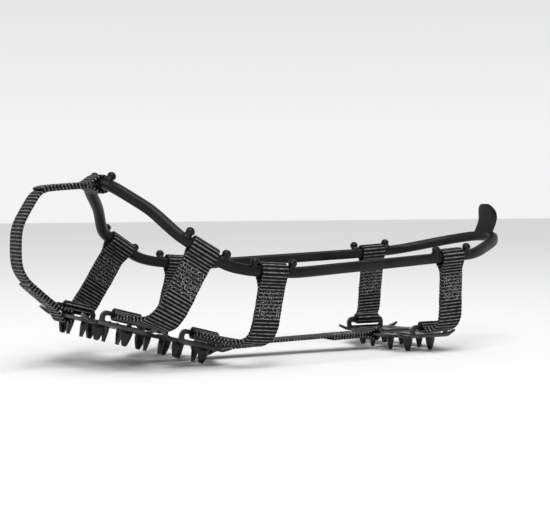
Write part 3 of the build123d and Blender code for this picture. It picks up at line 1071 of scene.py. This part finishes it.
def thread_material():
    """Polyester thread in black and pale strands, which gives the stitching its speckled look."""
    material, shader = new_material("sewing_thread", (0.16, 0.16, 0.165), 0.45, 0.3)
    shader.inputs["Sheen Weight"].default_value = 0.2
    tone = spread(material, noise(material, 1300, 1), 0.50, 0.68, 0, 1)
    tint(material, shader, tone, (0.008, 0.008, 0.008), (0.46, 0.46, 0.465))
    bump(material, shader, noise(material, 4200, 2), 0.5, 0.0001)
    return material


steel = steel_material()
webbing = webbing_material()
rubber = rubber_material()
thread = thread_material()

# --- the two plates ---
front_slots = (-lobe_x - slot_x, lobe_x + slot_x)
piece = make_plate("forefoot_plate_steel", forefoot, (-lobe_x, lobe_x), front_slots)
dress(piece, steel, "steel", "forefoot", "forefoot_plate")
piece = make_plate("heel_plate_steel", heel, (0.0,), (slot_x,))
dress(piece, steel, "steel", "heel", "heel_plate")

# --- the rubber band and its knobs ---
# the run of the band on which each side strap hangs, and its x
front_place, mid_place, heel_place = (3, 70.0), (5, 32.0), (7, -92.0)
toe_bar = Vector((0, 1, 0))


def knob_pair(centre, direction, leaning):
    """The knobs on either side of a strap's loop."""
    return [knob(centre + direction * end * knob_reach, direction, Vector(leaning)) for end in (-1, 1)]


band_parts = [band_ring()]
band_parts += knob_pair(Vector(toe_middle), toe_bar, (-toe_knob_lean, 0, 0))
for side in (-1, 1):
    for place in (front_place, mid_place, heel_place):
        band_parts += knob_pair(*on_run(*place, side), (0, side * side_knob_lean, 0))
band = new_piece("rubber_band", *gather(band_parts))
dress(band, rubber, "rubber", None, "band_front", "band_side_left", "band_side_right", "band_heel")
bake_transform(band)


# --- the pull tab ---
def fading(rise, extra, end):
    """An extra that is whole at the tab's foot and gone at the height where it ends."""
    return extra * (1 - (rise - tab_foot) / (end - tab_foot)) if rise < end else 0.0


def tab_ring(rise):
    """The tab's outline at one height."""
    half = tab_half_width + fading(rise, *tab_flare)
    above = rise - (tab_foot + tab_height - tab_top_round)
    if above > 0:
        half = tab_half_width - tab_top_round + sqrt(max(0.0, tab_top_round ** 2 - above ** 2))
    share = min(1.0, max(0.0, (rise - tab_bow_start) / (tab_height - tab_bow_start)))
    bow = tab_bow * sin(pi * share) ** tab_bow_shape
    thick = tab_half_thickness + fading(rise, *tab_swell)
    ring = []
    for k in range(tab_sides):
        a = 2 * pi * k / tab_sides
        flat = abs(cos(a)) ** tab_section[0] * (1 if cos(a) > 0 else -1)
        deep = abs(sin(a)) ** tab_section[1] * (1 if sin(a) > 0 else -1)
        y = half * flat
        cup = tab_cup * (y / tab_half_width) ** 2
        ring.append(Vector((heel_middle[0] - bow + cup + thick * deep, y, heel_middle[2] + rise)))
    return ring


def pull_tab():
    """A rounded rubber tongue that hugs the boot, then bows backwards; its foot clasps the band."""
    points = []
    for i in range(tab_levels + 1):
        share = i / tab_levels
        # even steps at first, then shorter and shorter ones towards the round top
        climbed = sin(share * pi / 2) if share > 0.5 else share * sqrt(2)
        points += tab_ring(tab_foot + tab_height * climbed)
    return points, skin(tab_levels + 1, tab_sides)


piece = new_piece("pull_tab_rubber", *pull_tab())
dress(piece, rubber, "rubber", "pull_tab", "heel_pull_tab")


# --- straps and their stitching ---
def sew(name, run, seams, faces):
    """The stitching of one strap: each seam has a near and a far end, and is sewn on each face."""
    groups = []
    for near, far in seams:
        for flip in faces:
            groups += stitch_block(run, near, far, flip)
    piece = new_piece(f"{name}_thread", *gather(groups))
    dress(piece, thread, "thread", name, f"{name}_stitching")


# plate, lobe, direction of its bar, corner where the webbing turns up, bend, place on the band
side_straps = {
    "front": (forefoot, lobe_x, forefoot_bar, (93.0, 53.5, 22.5), 7.0, front_place),
    "mid": (forefoot, -lobe_x, forefoot_bar, (39.0, 56.5, 11.0), 7.0, mid_place),
    "heel": (heel, 0.0, heel_bar, (-91.0, 41.5, 12.5), 4.0, heel_place),
}
for place, (plate, lobe, bar, corner, bend, loop_place) in side_straps.items():
    for name, side in (("left", 1), ("right", -1)):
        low = plate_point(plate, lobe - strap_back, side * flange_y, flange_bar_z)
        high, high_bar = on_run(*loop_place, side)
        turn_up = mirrored(corner, side)
        full_name = f"{place}_strap_{name}"
        stations, run = double_strap(
            (low, bar, flange_neck, flange_loop_inner), [turn_up], [bend],
            (high, high_bar, band_loop_inner),
            side_ease, short_tail, whole_tail, False,
        )
        piece = web_mesh(f"{full_name}_webbing", stations)
        dress(piece, webbing, "webbing", full_name, full_name)
        upper = (len(run) - 1) * weave_step - seam_end
        sew(full_name, run, [(upper - side_seam, upper)], (1, -1))

low = plate_point(forefoot, lobe_x + cross_bar_x, 0, 0)
stations, run = double_strap(
    (low, toe_bar, neck, plate_loop_inner), [Vector(p) for p in toe_corners], toe_bends,
    (Vector(toe_middle), toe_bar, band_loop_inner),
    toe_ease, *toe_tails, True,
)
piece = web_mesh("toe_strap_webbing", stations)
dress(piece, webbing, "webbing", "toe_strap", "toe_strap")
length = (len(run) - 1) * weave_step
seams = [(toe_seam_start, toe_seams[0]), (length - toe_seams[1], length - seam_end)]
sew("toe_strap", run, seams, (-1, 1))

front_low = plate_point(forefoot, -lobe_x - cross_bar_x, 0, 0)
rear_low = plate_point(heel, cross_bar_x, 0, 0)
stations, run = double_strap(
    (front_low, toe_bar, neck, plate_loop_inner), [], [], (rear_low, toe_bar, plate_loop_inner),
    0.0, centre_tail, centre_tail, True,
)
piece = web_mesh("centre_strap_webbing", stations)
dress(piece, webbing, "webbing", "centre_strap", "centre_strap")
length = (len(run) - 1) * weave_step
near, far = centre_seam
sew("centre_strap", run, [(near, far), (length - far, length - near)], (-1, 1))

# --- floor, light and camera ---
low_corner, high_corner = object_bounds()
middle = (low_corner + high_corner) / 2

bpy.ops.mesh.primitive_plane_add(size=8.0, location=(middle.x, middle.y, 0))
floor = bpy.context.object
floor.name = "studio_floor"
paper, paper_shader = new_material("pale_paper", (0.8, 0.8, 0.8), 0.75, 0.2)
tint(paper, paper_shader, noise(paper, 3, 2), (0.78, 0.78, 0.78), (0.81, 0.81, 0.81))
floor.data.materials.append(paper)

world = bpy.data.worlds.new("studio")
world.use_nodes = True
sky = world.node_tree.nodes["Background"]
sky.inputs["Color"].default_value = (1.0, 1.0, 1.0, 1)
way_out = node(world, "ShaderNodeTexCoord")
parts = node(world, "ShaderNodeSeparateXYZ")
join(world, way_out.outputs["Generated"], parts.inputs["Vector"])
join(world, spread(world, parts.outputs["Z"], 0.05, 0.5, 0.9, 0.35), sky.inputs["Strength"])
bpy.context.scene.world = world


def soft_light(name, place, size, power):
    """A round lamp at a place from the object's middle, facing it."""
    light = bpy.data.lights.new(name, "AREA")
    light.shape = "DISK"
    light.size = size
    light.energy = power
    lamp = bpy.data.objects.new(name, light)
    bpy.context.scene.collection.objects.link(lamp)
    lamp.location = middle + Vector(place)
    lamp.rotation_euler = (middle - lamp.location).to_track_quat("-Z", "Y").to_euler()


soft_light("key", (0.5, 0.9, 0.9), 0.5, 6)
soft_light("fill", (1.1, -0.5, 0.7), 0.9, 3)
soft_light("top", (-0.4, 0.1, 1.2), 0.5, 3)

daylight = bpy.data.lights.new("daylight", "SUN")
daylight.energy = 1.6
daylight.angle = radians(35)
lamp = bpy.data.objects.new("daylight", daylight)
bpy.context.scene.collection.objects.link(lamp)
lamp.rotation_euler = Vector((0.3, 0.5, 1.4)).to_track_quat("Z", "Y").to_euler()

camera_data = bpy.data.cameras.new("camera")
camera = bpy.data.objects.new("camera", camera_data)
bpy.context.scene.collection.objects.link(camera)
azimuth, elevation, distance = radians(150), radians(2.7), 0.78
direction = Vector((sin(azimuth) * cos(elevation), -cos(azimuth) * cos(elevation), sin(elevation)))
camera.location = middle + direction * distance
camera.rotation_euler = (-direction).to_track_quat("-Z", "Y").to_euler()
camera_data.lens = 92
camera_data.clip_start = 0.01
bpy.context.scene.camera = camera
bpy.context.scene.view_settings.view_transform = "Standard"
